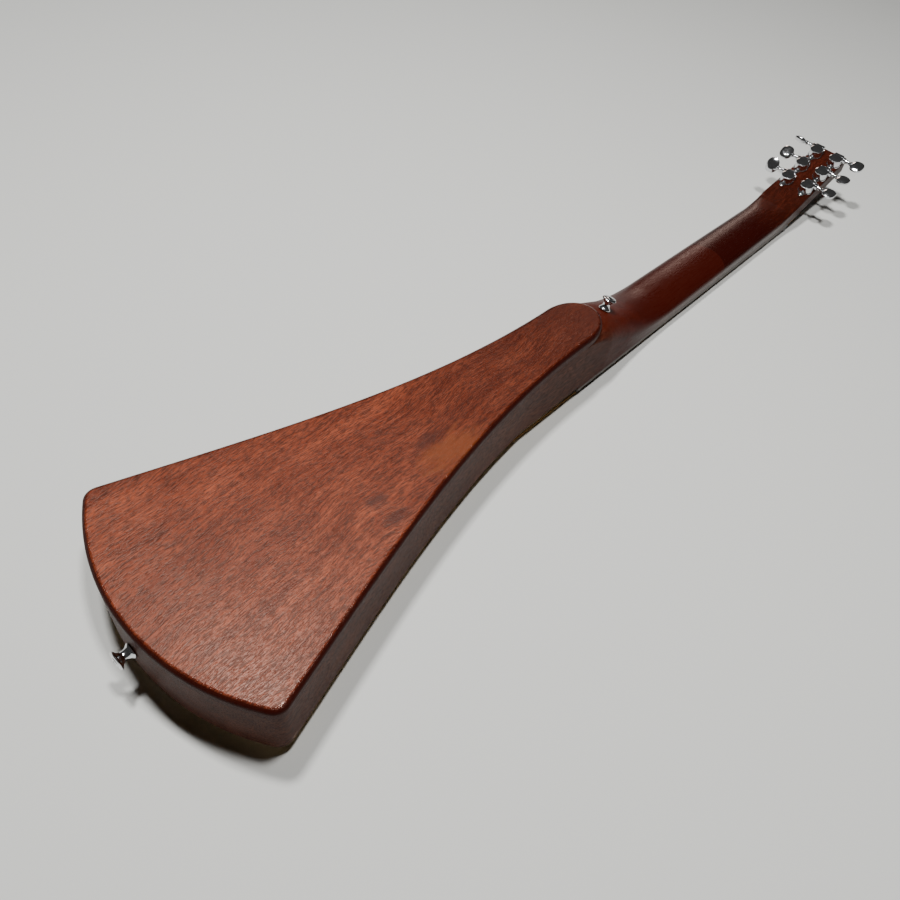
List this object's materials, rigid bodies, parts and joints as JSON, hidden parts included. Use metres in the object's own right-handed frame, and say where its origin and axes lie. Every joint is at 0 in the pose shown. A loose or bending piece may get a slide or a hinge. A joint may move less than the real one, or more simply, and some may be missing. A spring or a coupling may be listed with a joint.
{
  "type": "travel guitar",
  "caption": "Travel guitar with a flared hollow body, rounded back edge, carved heel and neck, pin bridge and enclosed worm-geared tuners, lying face down on its strings.",
  "frame": {"origin": "centre of the bounding box at its base, which is the plane of the strings that the guitar lies on", "axes": "+X along the guitar from the tail to the headstock, +Y to the treble side, +Z out of the back"},
  "size_m": [0.8596, 0.186, 0.059],
  "materials": {
    "back_wood": "satin reddish-brown mahogany board with fine open pores along its length",
    "rim_wood": "satin dark red-brown mahogany",
    "head_wood": "satin dark red-brown mahogany, a shade darker",
    "spruce": "satin straight-grained pale softwood",
    "maple": "bare pale hardwood",
    "dark_wood": "oiled dark close-grained hardwood",
    "bone_white": "polished off-white moulded bar",
    "pin_black": "polished black",
    "bar_steel": "bare drawn bar",
    "chrome": "bright plated",
    "plain_string": "bare drawn wire",
    "wound_string": "bronze winding wire"
  },
  "bodies": {
    "guitar": {"back_plate": "back_wood", "rim_and_neck": "rim_wood", "headstock": "head_wood", "soundboard": "spruce", "front_brace": "spruce", "rear_brace": "spruce", "bridge_plate": "maple", "bridge": "dark_wood", "fingerboard": "dark_wood", "saddle": "bone_white", "nut": "bone_white", "neck_bar": "bar_steel", "tail_strap_button": "chrome", "tail_strap_screw": "chrome", "heel_strap_button": "chrome", "heel_strap_screw": "chrome", "bridge_pin_1": "pin_black", "string_1": "plain_string", "tuner_case_1": "chrome", "tuner_screw_1": "chrome", "tuner_bushing_1": "chrome", "bridge_pin_2": "pin_black", "string_2": "plain_string", "tuner_case_2": "chrome", "tuner_screw_2": "chrome", "tuner_bushing_2": "chrome", "bridge_pin_3": "pin_black", "string_3": "wound_string", "tuner_case_3": "chrome", "tuner_screw_3": "chrome", "tuner_bushing_3": "chrome", "bridge_pin_4": "pin_black", "string_4": "wound_string", "tuner_case_4": "chrome", "tuner_screw_4": "chrome", "tuner_bushing_4": "chrome", "bridge_pin_5": "pin_black", "string_5": "wound_string", "tuner_case_5": "chrome", "tuner_screw_5": "chrome", "tuner_bushing_5": "chrome", "bridge_pin_6": "pin_black", "string_6": "wound_string", "tuner_case_6": "chrome", "tuner_screw_6": "chrome", "tuner_bushing_6": "chrome"},
    "button_1": {"tuner_button_1": "chrome"},
    "post_1": {"tuner_post_1": "chrome"},
    "button_2": {"tuner_button_2": "chrome"},
    "post_2": {"tuner_post_2": "chrome"},
    "button_3": {"tuner_button_3": "chrome"},
    "post_3": {"tuner_post_3": "chrome"},
    "button_4": {"tuner_button_4": "chrome"},
    "post_4": {"tuner_post_4": "chrome"},
    "button_5": {"tuner_button_5": "chrome"},
    "post_5": {"tuner_post_5": "chrome"},
    "button_6": {"tuner_button_6": "chrome"},
    "post_6": {"tuner_post_6": "chrome"}
  },
  "joints": [
    {"name": "button_turn_1", "type": "hinge", "parent": "guitar", "child": "button_1", "pos_m": [0.41413, 0.0112, 0.04713], "axis": [0, 1, 0], "continuous": true},
    {"name": "post_turn_1", "type": "hinge", "parent": "guitar", "child": "post_1", "pos_m": [0.40825, 0.0112, 0.04144], "axis": [-0.1994, 0, 0.9799], "continuous": true},
    {"name": "button_turn_2", "type": "hinge", "parent": "guitar", "child": "button_2", "pos_m": [0.36024, 0.0112, 0.03616], "axis": [0, 1, 0], "continuous": true},
    {"name": "post_turn_2", "type": "hinge", "parent": "guitar", "child": "post_2", "pos_m": [0.35435, 0.0112, 0.03048], "axis": [-0.1994, 0, 0.9799], "continuous": true},
    {"name": "button_turn_3", "type": "hinge", "parent": "guitar", "child": "button_3", "pos_m": [0.38719, 0.0112, 0.04165], "axis": [0, 1, 0], "continuous": true},
    {"name": "post_turn_3", "type": "hinge", "parent": "guitar", "child": "post_3", "pos_m": [0.3813, 0.0112, 0.03596], "axis": [-0.1994, 0, 0.9799], "continuous": true},
    {"name": "button_turn_4", "type": "hinge", "parent": "guitar", "child": "button_4", "pos_m": [0.38719, -0.0112, 0.04165], "axis": [0, 1, 0], "continuous": true},
    {"name": "post_turn_4", "type": "hinge", "parent": "guitar", "child": "post_4", "pos_m": [0.3813, -0.0112, 0.03596], "axis": [-0.1994, 0, 0.9799], "continuous": true},
    {"name": "button_turn_5", "type": "hinge", "parent": "guitar", "child": "button_5", "pos_m": [0.36024, -0.0112, 0.03616], "axis": [0, 1, 0], "continuous": true},
    {"name": "post_turn_5", "type": "hinge", "parent": "guitar", "child": "post_5", "pos_m": [0.35435, -0.0112, 0.03048], "axis": [-0.1994, 0, 0.9799], "continuous": true},
    {"name": "button_turn_6", "type": "hinge", "parent": "guitar", "child": "button_6", "pos_m": [0.41413, -0.0112, 0.04713], "axis": [0, 1, 0], "continuous": true},
    {"name": "post_turn_6", "type": "hinge", "parent": "guitar", "child": "post_6", "pos_m": [0.40825, -0.0112, 0.04144], "axis": [-0.1994, 0, 0.9799], "continuous": true}
  ],
  "couplings": [
    {"joint": "post_turn_1", "follows": "button_turn_1", "ratio": -0.071429},
    {"joint": "post_turn_2", "follows": "button_turn_2", "ratio": -0.071429},
    {"joint": "post_turn_3", "follows": "button_turn_3", "ratio": -0.071429},
    {"joint": "post_turn_4", "follows": "button_turn_4", "ratio": -0.071429},
    {"joint": "post_turn_5", "follows": "button_turn_5", "ratio": -0.071429},
    {"joint": "post_turn_6", "follows": "button_turn_6", "ratio": -0.071429}
  ]
}
